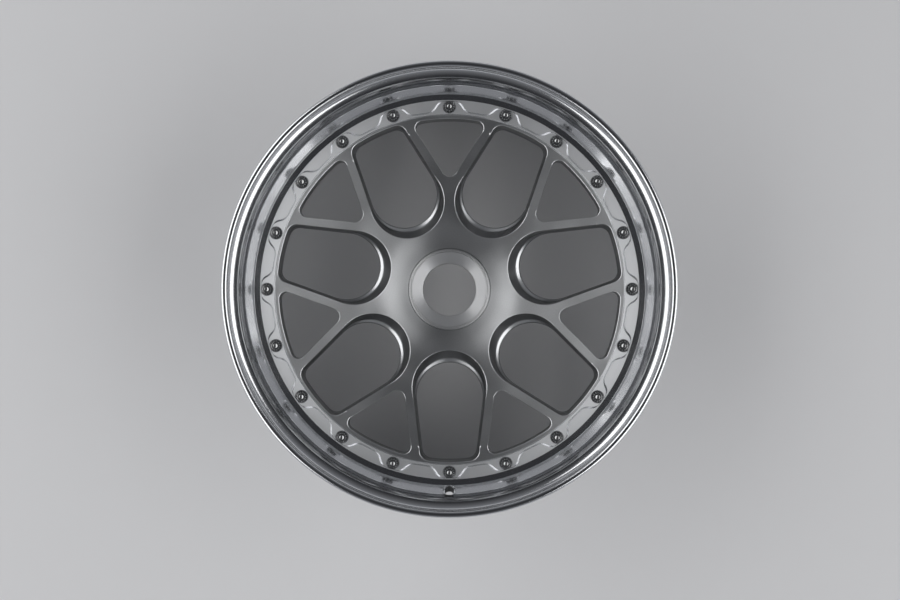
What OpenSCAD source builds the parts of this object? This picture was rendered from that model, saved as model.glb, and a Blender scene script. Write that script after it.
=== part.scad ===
// Split rim wheel: a centre-lock, mesh-spoked centre bolted between two rim halves.
// Z is the wheel axis and points outboard. The wheel lies on its inboard flange, at z = 0.

/* [Rim] */
// Bead seat diameter, 20-inch nominal
rim_d = 512.8; // [505:0.1:525]
// Width between the bead faces of the two tyre flanges, 9.5 inches
rim_w = 241.3; // [230:0.1:270]
// Height of each tyre flange above its bead seat
flange_h = 17.5; // [16.5:0.1:18.5]
// Width of each tyre flange along the axis
flange_w = 12.5; // [12:0.1:14]
// Radius of the rolled edge of each tyre flange
edge_r = 3.6; // [3:0.1:4]
// Width of the flat land on each rolled edge
edge_land = 1.2; // [0.8:0.1:2]
// Wall thickness of the rim halves
wall = 5; // [4:0.1:6]
// Depth of the drop centre below the bead seats
well_depth = 19.5; // [17:0.1:22]
// Width of the drop centre's floor
well_w = 42; // [30:1:55]
// Thickness of the mounting flange of each rim half
mount_t = 6; // [5:0.1:8]

/* [Outer lip] */
// Radial step from the bead seat in to the steep wall of the lip
lip_wall_in = 5.6; // [5:0.1:7]
// Depth of the flank's lower edge below the outboard face
flank_depth = 9.5; // [8:0.1:11]
// Radial width of the sloping band that the valve hole is drilled in
slope_w = 7.2; // [6:0.1:8.5]
// Height of that sloping band
slope_h = 8.5; // [7:0.1:10]
// Diameter of the valve hole
valve_d = 11.3; // [8.3:0.1:12.5]
// Diameter of the spot face round the valve hole
valve_face_d = 18.6; // [16:0.1:20]

/* [Centre ring] */
// Radial gap from the bead seat in to the outer edge of the bolted ring
ring_gap = 24.4; // [23.5:0.1:28]
// Depth of the ring's face below the outboard face
ring_depth = 35; // [33:0.1:42]
// Thickness of the bolted ring
ring_t = 7.5; // [6.5:0.1:10]
// Radial width of the raised ring
ring_w = 18.6; // [17:0.1:19.5]
// Height of the step from the spokes up to the raised ring
step_h = 2; // [1:0.1:3]
// Total depth of the centre at its pilot, from the ring's face to the back
rim_side_depth = 24; // [22:0.1:30]
// Depth of the pockets between the bolts
pocket_depth = 2.2; // [1:0.1:3]
// Radial width of the pockets' sloping walls
pocket_wall = 1.9; // [1.2:0.1:2.4]

/* [Bolts] */
// Number of rim bolts
bolt_count = 20; // [16:1:24]
// Diameter of the bolts' shanks
bolt_d = 8; // [6:0.1:8]
// Distance from the ring's outer edge in to the bolt circle
bolt_edge = 9; // [8:0.1:9.5]
// Diameter of the bolts' round washer face
bolt_flange_d = 14.6; // [13:0.1:15]
// Distance across the points of the twelve-point heads
bolt_head_d = 12.6; // [11:0.1:13]
// Height of the bolt heads
bolt_head_h = 6.2; // [5:0.1:8]
// Distance across the flats of the nuts
nut_flats = 13; // [11:0.1:13]
// Height of the nuts
nut_h = 6.8; // [5:0.1:8]

/* [Spokes and windows] */
// Number of Y spokes
spoke_count = 7; // [7:1:7]
// How far the spokes' roots lie below their outer ends
dish = 10.5; // [6:0.1:14]
// Distance from the wheel axis to the centre of each round window's arc
arch_r = 120.5; // [118:0.1:123]
// Radius of each round window's arc at the face
arch_radius = 45.4; // [43:0.1:46]
// Angle by which each side of a round window closes in towards the rim
arch_taper = 7; // [5:0.1:8]
// Distance from the wheel axis to the tip of each wedge window
wedge_tip_r = 139; // [137:0.1:144]
// Radius of the wedge windows' tips
wedge_tip_radius = 9.8; // [8:0.1:11]
// Angle between a wedge window's side and its centre line
wedge_angle = 33; // [30:0.1:34]
// Width of the spoke edges' chamfer
edge_chamfer = 0.9; // [0.4:0.1:1.4]

/* [Hub] */
// Offset of the hub's mounting face outboard of the rim's centre plane
offset_et = 50; // [44:0.1:54]
// Radius of the hub's mounting face
pad_r = 87; // [84:0.1:89]
// Diameter of the spigot bore in the mounting face
spigot_d = 84; // [80:0.1:90]
// Depth of the spigot bore
spigot_h = 12; // [8:0.1:14]
// Diameter of the through bore
bore_d = 65; // [60:0.1:70]
// Outer diameter of the conical nut seat
seat_d = 90.6; // [88:0.1:92]
// Depth of the conical nut seat
seat_h = 13.5; // [11:0.1:15]
// Outer diameter of the collar round the nut seat
collar_d = 98; // [96:0.1:104]
// Height of the collar above the hub's crown
collar_h = 2.6; // [1.5:0.1:4]
// Rise of the crown round the collar above the spokes' roots
crown_h = 4.5; // [3:0.1:6]
// Radius at which the crown runs out into the spokes
crown_r = 96; // [88:1:104]
// Pitch circle diameter of the drive-pin holes
pin_pcd = 130; // [126:0.1:134]
// Number of drive-pin holes
pin_count = 5; // [5:1:5]
// Diameter of the drive-pin holes
pin_d = 19; // [16:0.1:21]
// Depth of the drive-pin holes
pin_h = 18; // [12:0.1:20]

/* [Seal] */
// Diameter of the sealing ring's section
seal_d = 2.4; // [2:0.1:3]
// Depth of the chamfers that the sealing ring lies in
seal_chamfer = 2.4; // [2:0.1:3]

/* [Hidden] */

// Fit between the centre's pilot and the rim halves
pilot_fit = 0.15;
// Fit of the bolts in their holes, on the radius
bolt_fit = 0.25;
// Play left in the nut's thread, on the radius
thread_fit = 0.05;
// Cutters run this far past what they cut
over = 1;
edge_rise = 0.4;
turn_fn = 180;
bore_fn = 48;

// Heights
top_z = rim_w + 2 * flange_w;
ring_z = top_z - ring_depth;
flat_z = ring_z - ring_t;
joint_z = flat_z - mount_t;
inner_flange_z = joint_z - mount_t;
ring_back_z = ring_z - rim_side_depth;
spoke_edge_z = ring_z - step_h;
dish_z = spoke_edge_z - dish;
collar_z = dish_z + crown_h + collar_h;
pad_z = top_z / 2 + offset_et;
spoke_back_z = pad_z + 6;
spot_z = ring_z - 0.8;

// Radii
seat_r = rim_d / 2;
tip_r = seat_r + flange_h;
ring_r = seat_r - ring_gap;
bolt_r = ring_r - bolt_edge;
step_r = ring_r - ring_w;
pilot_r = step_r + 1.8;
lip_wall_r = seat_r - lip_wall_in;
slope_top_r = lip_wall_r - 0.6;
slope_foot_r = slope_top_r - slope_w;
slope_foot_z = flat_z + 1;
slope_top_z = slope_foot_z + slope_h;
seat_slant = 1.8;
hump_w = 21;
well_r = seat_r - well_depth;
barrel_r = seat_r - 5;
joint_r = slope_foot_r + wall * slope_h / norm([slope_w, slope_h]);
dish_start_r = 80;
arch_rim_r = step_r - 2.5;
wedge_rim_r = step_r - 4.5;

// A point on a quadratic curve, and the curve as a list of points
function bend(a, b, c, t) = a * (1 - t) * (1 - t) + b * 2 * t * (1 - t) + c * t * t;
function curve(a, b, c, n) = [for (i = [0 : n]) bend(a, b, c, i / n)];
function arc(centre, r, from, to, n) =
    [for (i = [0 : n]) centre + r * [cos(from + (to - from) * i / n), sin(from + (to - from) * i / n)]];

// Height of the spokes' front and back at a distance from the axis
function crown_z(r) =
    let (t = min(1, max(0, (crown_r - r) / (crown_r - collar_d / 2))))
    crown_h * t * t * (3 - 2 * t);
function face_z(r) = dish_z + crown_z(r)
    + dish * pow(max(0, r - dish_start_r) / (step_r - dish_start_r), 1.5);
function back_z(r) = spoke_back_z
    + (ring_back_z - spoke_back_z) * min(1, max(0, (r - pad_r) / (pilot_r - pad_r)));

// A tyre flange with its bead seat, from the hump out to the rolled edge.
// The face lies at height 0 and the wheel's middle at negative heights.
function tyre_side() = concat(
    [[seat_r - seat_slant - 1.2, -flange_w - hump_w - 4.5]],
    arc([seat_r - seat_slant - 0.3, -flange_w - hump_w - 1.5], 2, -35, 50, 4),
    [[seat_r - seat_slant, -flange_w - hump_w + 2]],
    curve([seat_r - 0.4, -flange_w - 5.5], [seat_r, -flange_w], [seat_r + 5.5, -flange_w], 6),
    arc([tip_r - 9.5, -flange_w + 9.5], 9.5, -90, -20, 8));
edge_w = 2 * edge_r + edge_land;
function rolled_edge() = concat(
    [[tip_r, -edge_r - 1]],
    arc([tip_r - edge_r, -edge_r], edge_r, 0, 90, 6),
    arc([tip_r - edge_r - edge_land, -edge_r], edge_r, 90, 180, 6));
function raised(points, z) = [for (p = points) [p[0], p[1] + z]];
function reversed(points) = [for (i = [len(points) - 1 : -1 : 0]) points[i]];

// Outline of a window: an arc towards the hub, two straight sides and a rounded outer edge.
// It is grown outwards by g. Local X points away from the hub.
function window(mid_r, radius, taper, rim_r, corner, g) =
    let (
        side = [sin(taper), cos(taper)],
        along = [cos(taper), -sin(taper)],
        k = (radius - corner) + mid_r * sin(taper),
        q = rim_r - corner,
        c = k * side + sqrt(q * q - k * k) * along,
        turn = atan2(c[1], c[0]),
        upper = concat(
            arc([mid_r, 0], radius + g, 180, 90 - taper, 14),
            arc(c, corner + g, 90 - taper, turn, 4),
            [for (i = [1 : 3]) (rim_r + g) * [cos(turn * (1 - i / 3)), sin(turn * (1 - i / 3))]]))
    concat(upper, [for (i = [len(upper) - 2 : -1 : 1]) [upper[i][0], -upper[i][1]]]);

function arch_at(shift, shrink, g) =
    window(arch_r + shift, arch_radius - shrink, arch_taper, arch_rim_r - shrink * 0.45, 12, g);
function wedge_at(g) =
    window(wedge_tip_r + wedge_tip_radius, wedge_tip_radius, -wedge_angle, wedge_rim_r, 8.5, g);

// A solid through rings of points of equal length, the first ring uppermost
module loft(rings) {
    n = len(rings[0]);
    last = len(rings) - 1;
    polyhedron(
        points = [for (ring = rings) each ring],
        faces = concat(
            [[for (i = [0 : n - 1]) i]],
            [for (k = [0 : last - 1]) for (i = [0 : n - 1]) each [
                [k * n + i, (k + 1) * n + i, (k + 1) * n + (i + 1) % n],
                [k * n + i, (k + 1) * n + (i + 1) % n, k * n + (i + 1) % n]]],
            [[for (i = [n - 1 : -1 : 0]) last * n + i]]));
}

function at_height(points, z) = [for (p = points) [p[0], p[1], z]];
function on_face(points, up) = [for (p = points) [p[0], p[1], face_z(norm(p)) + up]];
function on_back(points, up) = [for (p = points) [p[0], p[1], back_z(norm(p)) + up]];

// Round-arched window with its drafted wall and the ledge at its back
module arch_cutter() {
    loft([
        at_height(arch_at(0, 0, edge_chamfer + over), ring_z + over),
        on_face(arch_at(0, 0, edge_chamfer + edge_rise), edge_rise),
        on_face(arch_at(0, 0, 0), -edge_chamfer),
        on_back(arch_at(7.9, 1.9, 0), 7.5),
        on_back(arch_at(11.6, 4.1, 0), 2.5),
        at_height(arch_at(11.6, 4.1, 0), pad_z - over)]);
}

// Wedge window with straight walls
module wedge_cutter() {
    loft([
        at_height(wedge_at(edge_chamfer + over), ring_z + over),
        on_face(wedge_at(edge_chamfer + edge_rise), edge_rise),
        on_face(wedge_at(0), -edge_chamfer),
        at_height(wedge_at(0), pad_z - over)]);
}

// Outline of a pocket between two bolts, grown by g, open past the ring's outer edge.
// Each side curves round its pad and then out along the ring, as distances from the
// wheel axis and from the pad's middle.
pocket_pitch = 360 / bolt_count;
function pocket_point(p) =
    let (a = pocket_pitch / 2 - asin(p[1] / p[0])) [p[0] * cos(a), p[0] * sin(a)];
function pocket_outline(g) =
    let (
        inner_r = step_r + 5 - g,
        waist = [step_r + 10.8 - 0.2 * g, 17.4 - 1.3 * g],
        end = [ring_r - 1.1 - 0.3 * g, 6.8 - 0.6 * g],
        along_ring = curve([inner_r, 26], [inner_r, 21 - 0.8 * g], waist, 5),
        round_pad = curve(waist, [ring_r - 1.6 - 0.6 * g, 14.5 - 1.6 * g], end, 5),
        side = concat(
            along_ring,
            [for (i = [1 : len(round_pad) - 1]) round_pad[i]],
            [[ring_r + 1.5, end[1]]]),
        upper = [for (p = side) pocket_point(p)])
    concat(upper, [for (p = reversed(upper)) [p[0], -p[1]]]);
module pocket_cutter() {
    rise = over / pocket_depth;
    loft([
        at_height(pocket_outline(pocket_wall * (1 + rise)), ring_z + over),
        at_height(pocket_outline(0), ring_z - pocket_depth)]);
}

module round_the_axis(count, first) {
    for (i = [0 : count - 1])
        rotate(first + i * 360 / count)
            children();
}
module at_bolts() {
    round_the_axis(bolt_count, 90)
        translate([bolt_r, 0, 0])
            children();
}

// Body of the centre before its windows are cut
module centre_body() {
    seat_r_out = seat_d / 2;
    collar_r = collar_d / 2;
    crown_foot_r = collar_r + 5;
    rotate_extrude($fn = turn_fn)
        polygon(concat(
            [[bore_d / 2, collar_z - seat_h]],
            [[seat_r_out, collar_z - 0.8]],
            [[seat_r_out + 0.5, collar_z]],
            [[collar_r - 1, collar_z]],
            [[collar_r - 0.3, collar_z - 0.3]],
            [[collar_r, collar_z - 1]],
            curve(
                [collar_r + 0.4, collar_z - 1.4],
                [collar_r + 1.2, face_z(collar_r + 1.2)],
                [crown_foot_r, face_z(crown_foot_r)], 4),
            [for (i = [1 : 17])
                let (r = crown_foot_r + (step_r - crown_foot_r) * i / 17) [r, face_z(r)]],
            [[step_r + 1, ring_z]],
            [[ring_r - 2.2, ring_z]],
            [[ring_r - 1, ring_z - pocket_depth]],
            [[ring_r - 0.4, ring_z - pocket_depth]],
            [[ring_r, ring_z - pocket_depth - 0.4]],
            [[ring_r, flat_z]],
            [[pilot_r, flat_z]],
            [[pilot_r, ring_back_z + 1]],
            [[pilot_r - 1, ring_back_z]],
            [[pad_r + 3, back_z(pad_r + 3)]],
            [[pad_r, spoke_back_z - 1.5]],
            [[pad_r, pad_z + 1.5]],
            [[pad_r - 1.5, pad_z]],
            [[spigot_d / 2 + 1.5, pad_z]],
            [[spigot_d / 2, pad_z + 1.5]],
            [[spigot_d / 2, pad_z + spigot_h]],
            [[bore_d / 2, pad_z + spigot_h]]));
}

module wheel_centre() {
    color([0.62, 0.63, 0.63])
        difference() {
            centre_body();
            round_the_axis(spoke_count, -90)
                arch_cutter();
            round_the_axis(spoke_count, 90)
                wedge_cutter();
            round_the_axis(bolt_count, 90 + pocket_pitch / 2)
                pocket_cutter();
            at_bolts() {
                translate([0, 0, spot_z])
                    cylinder(d = bolt_flange_d + 1.4, h = 3, $fn = bore_fn);
                translate([0, 0, flat_z - over])
                    cylinder(r = bolt_d / 2 + bolt_fit, h = ring_t + 2 * over, $fn = bore_fn);
            }
            round_the_axis(pin_count, 90)
                translate([pin_pcd / 2, 0, pad_z - over])
                    cylinder(d = pin_d, h = pin_h + over, $fn = bore_fn);
        }
}

module flange_holes() {
    at_bolts()
        translate([0, 0, inner_flange_z - over])
            cylinder(r = bolt_d / 2 + bolt_fit, h = 2 * mount_t + 2 * over, $fn = bore_fn);
}

module outer_rim_half() {
    hole_r = slope_foot_r + slope_w / 2;
    hole_z = slope_foot_z + slope_h / 2;
    hole_tilt = atan2(slope_h, slope_w);
    color([0.72, 0.73, 0.74])
        difference() {
            rotate_extrude($fn = turn_fn)
                polygon(concat(
                    [[pilot_r + pilot_fit, joint_z]],
                    [[joint_r - seal_chamfer, joint_z]],
                    [[joint_r, joint_z + seal_chamfer]],
                    [[joint_r, slope_foot_z - 3.2]],
                    raised(tyre_side(), top_z),
                    raised(rolled_edge(), top_z),
                    curve(
                        [tip_r - edge_w - 0.7, top_z - edge_r - 0.8],
                        [tip_r - edge_w - 4, top_z - flank_depth + 1.5],
                        [seat_r - 0.1, top_z - flank_depth], 6),
                    curve(
                        [seat_r - 0.5, top_z - flank_depth - 0.8],
                        [lip_wall_r + 0.6, top_z - flank_depth - 6],
                        [lip_wall_r, top_z - flank_depth - 16], 6),
                    curve(
                        [slope_top_r, slope_top_z + 1.5],
                        [slope_top_r, slope_top_z],
                        [slope_top_r - 1, slope_top_z - slope_h / slope_w], 3),
                    curve(
                        [slope_foot_r + 1, slope_foot_z + slope_h / slope_w],
                        [slope_foot_r, slope_foot_z],
                        [slope_foot_r - 1.4, flat_z], 3),
                    [[pilot_r + pilot_fit, flat_z]]));
            flange_holes();
            translate([0, -hole_r, hole_z])
                rotate([-hole_tilt, 0, 0]) {
                    translate([0, 0, -3 * wall])
                        cylinder(d = valve_d, h = 5 * wall, $fn = bore_fn);
                    translate([0, 0, -0.6])
                        cylinder(d = valve_face_d, h = 2 * wall, $fn = bore_fn);
                }
        }
}

module inner_rim_half() {
    ramp_top_z = joint_z - 22 - well_w - 32;
    well_top_z = joint_z - 11.5;
    color([0.60, 0.61, 0.62])
        difference() {
            rotate_extrude($fn = turn_fn)
                polygon(concat(
                    [[pilot_r + pilot_fit, inner_flange_z]],
                    [[well_r - wall - 1, inner_flange_z]],
                    [[well_r - wall, inner_flange_z - 1]],
                    [[well_r - wall, well_top_z - well_w - 2]],
                    curve(
                        [well_r - wall + 0.6, well_top_z - well_w - 5],
                        [barrel_r - wall - 1, ramp_top_z + 8],
                        [barrel_r - wall, ramp_top_z - 8], 6),
                    [[barrel_r - wall, 52]],
                    [[seat_r - seat_slant - wall, 42]],
                    [for (p = reversed(curve(
                        [tip_r - edge_w - 0.7, edge_r + 0.8],
                        [seat_r - seat_slant - wall + 0.5, flange_w - 4],
                        [seat_r - seat_slant - wall, flange_w + 12], 8))) p],
                    [for (p = reversed(rolled_edge())) [p[0], -p[1]]],
                    [for (p = reversed(tyre_side())) [p[0], -p[1]]],
                    [[barrel_r, flange_w + hump_w + 9]],
                    [[barrel_r, ramp_top_z - 10]],
                    curve(
                        [barrel_r, ramp_top_z - 8],
                        [barrel_r - 1, ramp_top_z + 6],
                        [well_r + 1, well_top_z - well_w - 4], 6),
                    [[well_r, well_top_z - well_w]],
                    [[well_r, well_top_z]],
                    curve(
                        [well_r + 0.8, well_top_z + 2],
                        [joint_r - 1, joint_z - 7],
                        [joint_r, joint_z - 4], 4),
                    [[joint_r, joint_z - seal_chamfer]],
                    [[joint_r - seal_chamfer, joint_z]],
                    [[pilot_r + pilot_fit, joint_z]]));
            flange_holes();
        }
}

// One rim bolt: shank, washer face and twelve-point head with a dished top
module rim_bolt() {
    shank = spot_z - inner_flange_z + nut_h + 1.6;
    head_r = bolt_head_d / 2;
    flange_r = bolt_flange_d / 2;
    dish_r = bolt_head_d / 4;
    difference() {
        union() {
            rotate_extrude($fn = bore_fn)
                polygon([
                    [0, -shank],
                    [bolt_d / 2 - 0.8, -shank],
                    [bolt_d / 2, 0.8 - shank],
                    [bolt_d / 2, 0],
                    [flange_r - 0.2, 0],
                    [flange_r, 0.2],
                    [flange_r, 1],
                    [head_r + 0.3, 1.8],
                    [0, 1.8]]);
            intersection() {
                for (a = [0, 30])
                    rotate(a)
                        translate([0, 0, 1])
                            cylinder(r = head_r, h = bolt_head_h, $fn = 6);
                rotate_extrude($fn = bore_fn)
                    polygon([
                        [0, 0],
                        [head_r + 1, 0],
                        [head_r + 1, bolt_head_h - 1.6],
                        [head_r - 0.9, bolt_head_h],
                        [0, bolt_head_h]]);
            }
        }
        rotate_extrude($fn = bore_fn)
            polygon([
                [0, bolt_head_h - 2.4],
                [dish_r, bolt_head_h - 2.4],
                [dish_r, bolt_head_h - 0.8],
                [dish_r + 1.2, bolt_head_h + 0.4],
                [0, bolt_head_h + 0.4]]);
    }
}
module rim_bolts() {
    color([0.80, 0.81, 0.82])
        at_bolts()
            translate([0, 0, spot_z])
                rim_bolt();
}

// One nut, under the inner rim half's mounting flange
module rim_nut() {
    across = nut_flats / cos(30);
    difference() {
        intersection() {
            cylinder(d = across, h = nut_h, $fn = 6);
            cylinder(d1 = nut_flats, d2 = nut_flats + 2 * nut_h, h = nut_h, $fn = bore_fn);
        }
        translate([0, 0, -over])
            cylinder(r = bolt_d / 2 + thread_fit, h = nut_h + 2 * over, $fn = bore_fn);
    }
}
module rim_nuts() {
    color([0.55, 0.56, 0.57])
        at_bolts()
            translate([0, 0, inner_flange_z - nut_h])
                rim_nut();
}

// Sealing ring in the groove between the two halves, on the tyre side
module rim_seal() {
    centre_r = joint_r - seal_chamfer + (seal_d / 2 + thread_fit) * sqrt(2);
    color([0.12, 0.12, 0.12])
        rotate_extrude($fn = turn_fn)
            translate([centre_r, joint_z])
                circle(d = seal_d, $fn = 24);
}

wheel_centre();
outer_rim_half();
inner_rim_half();
rim_bolts();
rim_nuts();
rim_seal();
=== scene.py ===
"""Split rim wheel, finished for close views.

The wheel lies on its inboard flange with its axis along +Z and its face up. Lengths are in metres,
apart from the profiles, which are written in millimetres as on a drawing.
"""

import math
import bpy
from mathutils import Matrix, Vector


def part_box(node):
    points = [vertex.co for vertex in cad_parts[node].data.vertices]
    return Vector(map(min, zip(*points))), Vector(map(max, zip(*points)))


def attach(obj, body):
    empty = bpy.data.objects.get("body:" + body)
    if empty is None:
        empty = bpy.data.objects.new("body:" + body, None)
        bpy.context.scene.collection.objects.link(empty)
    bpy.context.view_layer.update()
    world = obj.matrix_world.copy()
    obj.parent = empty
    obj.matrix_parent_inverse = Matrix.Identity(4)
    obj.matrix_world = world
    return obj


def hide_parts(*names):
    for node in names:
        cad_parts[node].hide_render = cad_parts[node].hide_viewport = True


bl_info = {
    "name": "Split rim wheel",
    "version": (1, 0, 0),
    "blender": (4, 5, 0),
    "location": "3D View > Sidebar > Wheel",
    "description": "Models and finishes a split rim wheel round its packed frame",
    "category": "Object",
}

import bmesh
import bpy
from mathutils import Matrix, Vector

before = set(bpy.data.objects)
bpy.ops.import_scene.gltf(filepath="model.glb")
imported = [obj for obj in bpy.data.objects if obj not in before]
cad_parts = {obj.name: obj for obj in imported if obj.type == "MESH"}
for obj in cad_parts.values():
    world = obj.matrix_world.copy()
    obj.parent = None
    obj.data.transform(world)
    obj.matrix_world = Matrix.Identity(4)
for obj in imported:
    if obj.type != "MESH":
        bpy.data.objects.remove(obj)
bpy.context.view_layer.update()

MM = 0.001
BODY = "root"


def box_mm(node):
    """Lowest and highest corner of a CAD node, in millimetres."""
    low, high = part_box(node)
    return low / MM, high / MM


# Sizes read from the frame, in millimetres
LIP_LOW, LIP_HIGH = box_mm("outer_rim_half")
CENTRE_LOW, CENTRE_HIGH = box_mm("wheel_centre")
BOLTS_LOW, BOLTS_HIGH = box_mm("rim_bolts")
NUTS_LOW, NUTS_HIGH = box_mm("rim_nuts")
SEAL_LOW, SEAL_HIGH = box_mm("rim_seal")

TOP_Z = LIP_HIGH.z
JOINT_Z = LIP_LOW.z
MOUNT_BACK_Z = NUTS_HIGH.z
RING_Z = CENTRE_HIGH.z
PAD_Z = CENTRE_LOW.z
TIP_R = min(LIP_HIGH.x, LIP_HIGH.y)
RING_R = min(CENTRE_HIGH.x, CENTRE_HIGH.y)
FLAT_Z = 2 * JOINT_Z - MOUNT_BACK_Z
NUT_H = NUTS_HIGH.z - NUTS_LOW.z

# Sizes of the rim contour, in millimetres
FLANGE_H = 17.5
FLANGE_W = 12.5
EDGE_R = 3.6
EDGE_LAND = 1.2
HUMP_W = 21.0
SEAT_SLANT = 1.8
WALL = 5.0
WELL_D = 19.5
WELL_W = 42
SEAT_R = TIP_R - FLANGE_H
EDGE_INNER_R = TIP_R - 2 * EDGE_R - EDGE_LAND
SLOPE_W = 7.2
SLOPE_H = 8.5
SLOPE_TOP_R = SEAT_R - 6.2
SLOPE_FOOT_R = SLOPE_TOP_R - SLOPE_W
SLOPE_FOOT_Z = FLAT_Z + 1
LIP_FOOT_R = SLOPE_FOOT_R - 2.3
SLOPE_LEAN = math.atan2(SLOPE_H, SLOPE_TOP_R - LIP_FOOT_R)
BORE_LEAN = SLOPE_LEAN + math.radians(34)
VALVE_PLACE = Vector((0, -(SLOPE_TOP_R + LIP_FOOT_R) / 2, SLOPE_FOOT_Z + SLOPE_H / 2))
JOINT_R = SLOPE_FOOT_R + WALL * SLOPE_H / math.hypot(SLOPE_W, SLOPE_H)
JOINT_CHAMFER = 2.4

# Sizes of the centre, in millimetres
BOLT_R = RING_R - 9.0
HOLE_R = 4.25
STEP_R = RING_R - 18.6
PILOT_R = STEP_R + 1.8
PILOT_BORE_R = PILOT_R + 0.15
STEP_H = 2.0
POCKET_D = 2.2
POCKET_WALL = 1.9
SPOT_R = 8.0
SPOT_D = 0.8
DISH = 10.5
DISH_START_R = 80.0
DISH_Z = RING_Z - STEP_H - DISH
CROWN_H = 4.5
CROWN_R = 96.0
COLLAR_R = 49.0
COLLAR_Z = DISH_Z + CROWN_H + 2.6
GROOVE_D = 1.5
HUB_BORE_R = 32.5
SPIGOT_R = 42.0
SPIGOT_D = 12
SEAT_D = 13.5
PIN_R = 9.5
PIN_D = 18
PIN_CIRCLE_R = 65
PIN_COUNT = 5
BACK_RIM_Z = RING_Z - 24.0
BACK_HUB_Z = PAD_Z + 6.0
PAD_R = 87.0

# Windows, in millimetres and degrees: the arc towards the hub, the sides' lean and the outer corners
ARCH_MID_R, ARCH_R, ARCH_LEAN, ARCH_CORNER = 120.5, 45.4, 7, 12
WEDGE_MID_R, WEDGE_R, WEDGE_LEAN, WEDGE_CORNER = 148.8, 9.8, -33, 8.5
# How far the arc moves out and closes in along a window's wall, and then along its ledge
WALL_SHIFT, WALL_SHRINK = 7.9, 1.9
LEDGE_SHIFT, LEDGE_SHRINK = 3.7, 2.2

# Fasteners, in millimetres
SHANK_R = 4.0
THREAD_PITCH = 1.25
THREAD_D = 0.6
NUT_FLATS = 13.0
FASTENER_SIDES = 48

# Doubles closer than this are merged, in metres
WELD = 0.002 * MM

# The world's colours at its foot and top, and its brightness at heights between them
HORIZON = (0.62, 0.63, 0.65, 1)
ZENITH = (0.03, 0.031, 0.034, 1)
SKY = ((0.28, 0.22), (0.75, 0.12), (0.92, 0.08))


class WheelSizes(bpy.types.PropertyGroup):
    """Sizes that a user would change."""

    bolt_count: bpy.props.IntProperty(
        name="Rim bolts", description="Number of rim bolts and nuts", default=20, min=16, max=24)
    spoke_count: bpy.props.IntProperty(
        name="Spokes", description="Number of Y spokes", default=7, min=5, max=9)
    edge_round: bpy.props.FloatProperty(
        name="Edge rounding", description="Rounding of the spokes' front edges",
        default=0.9 * MM, min=0.3 * MM, max=2 * MM, unit="LENGTH")
    valve_diameter: bpy.props.FloatProperty(
        name="Valve hole", description="Diameter of the valve hole in the lip",
        default=11.3 * MM, min=8 * MM, max=13 * MM, unit="LENGTH")
    lathe_steps: bpy.props.IntProperty(
        name="Lathe steps", description="Steps round the axis of each turned piece",
        default=336, min=96, max=720)


def colour_setting(name, what, default):
    return bpy.props.FloatVectorProperty(
        name=name, description=f"Colour of the {what}", subtype="COLOR", size=3,
        default=default, min=0, max=1)


class WheelFinish(bpy.types.PropertyGroup):
    """Colours that a user would change."""

    satin: colour_setting("Centre", "satin centre", (0.66, 0.67, 0.68))
    ring: colour_setting("Bolt ring", "brighter ring that the bolts go through", (0.74, 0.75, 0.765))
    bare: colour_setting("Bare metal", "machined nut seat", (0.86, 0.865, 0.87))
    polish: colour_setting("Lip", "polished lip", (0.74, 0.75, 0.77))
    turned: colour_setting("Barrel", "turned barrel", (0.66, 0.67, 0.685))
    bolt: colour_setting("Bolts", "plated bolts", (0.50, 0.505, 0.51))
    nut: colour_setting("Nuts", "zinc plated nuts", (0.60, 0.60, 0.58))
    seal: colour_setting("Seal", "sealing ring", (0.03, 0.03, 0.032))
    floor: colour_setting("Floor", "floor", (0.72, 0.72, 0.73))


# Points and profiles

def bend(a, b, c, steps):
    """Points of a quadratic curve from a to c, pulled towards b."""
    points = []
    for i in range(steps + 1):
        t = i / steps
        points.append(a * (1 - t) ** 2 + b * 2 * t * (1 - t) + c * t * t)
    return points


def rounded(corners, steps=4, closed=True):
    """Points along corners (x, y, rounding), with each rounding a curve from side to side."""
    points = []
    count = len(corners)
    for i, (x, y, radius) in enumerate(corners):
        corner = Vector((x, y))
        open_end = not closed and i in (0, count - 1)
        if radius == 0 or open_end:
            points.append(corner)
            continue
        before = Vector(corners[i - 1][:2]) - corner
        after = Vector(corners[(i + 1) % count][:2]) - corner
        start = corner + before.normalized() * min(radius, before.length * 0.49)
        end = corner + after.normalized() * min(radius, after.length * 0.49)
        points += bend(start, corner, end, steps)
    return points


def arc(centre, radius, start, end, steps):
    """Points of an arc about centre, angles in degrees."""
    points = []
    for i in range(steps + 1):
        angle = math.radians(start + (end - start) * i / steps)
        points.append(Vector(centre) + radius * Vector((math.cos(angle), math.sin(angle))))
    return points


def face_z(r):
    """Height of the spokes' front at a distance from the axis."""
    reach = max(0.0, r - DISH_START_R) / (STEP_R - DISH_START_R)
    crown = min(1.0, max(0.0, (CROWN_R - r) / (CROWN_R - COLLAR_R)))
    return DISH_Z + DISH * reach ** 1.5 + CROWN_H * crown ** 2 * (3 - 2 * crown)


def back_z(r):
    """Height of the spokes' back at a distance from the axis."""
    reach = min(1.0, max(0.0, (r - PAD_R) / (PILOT_R - PAD_R)))
    return BACK_HUB_Z + (BACK_RIM_Z - BACK_HUB_Z) * reach


# Modelling by operator

def deselect_all():
    if bpy.context.mode != "OBJECT":
        bpy.ops.object.mode_set(mode="OBJECT")
    bpy.ops.object.select_all(action="DESELECT")


def activate(piece):
    deselect_all()
    piece.select_set(True)
    bpy.context.view_layer.objects.active = piece


def apply_place(piece):
    """Takes a piece's place and turn into its mesh."""
    activate(piece)
    bpy.ops.object.transform_apply(location=True, rotation=True, scale=True)


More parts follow.
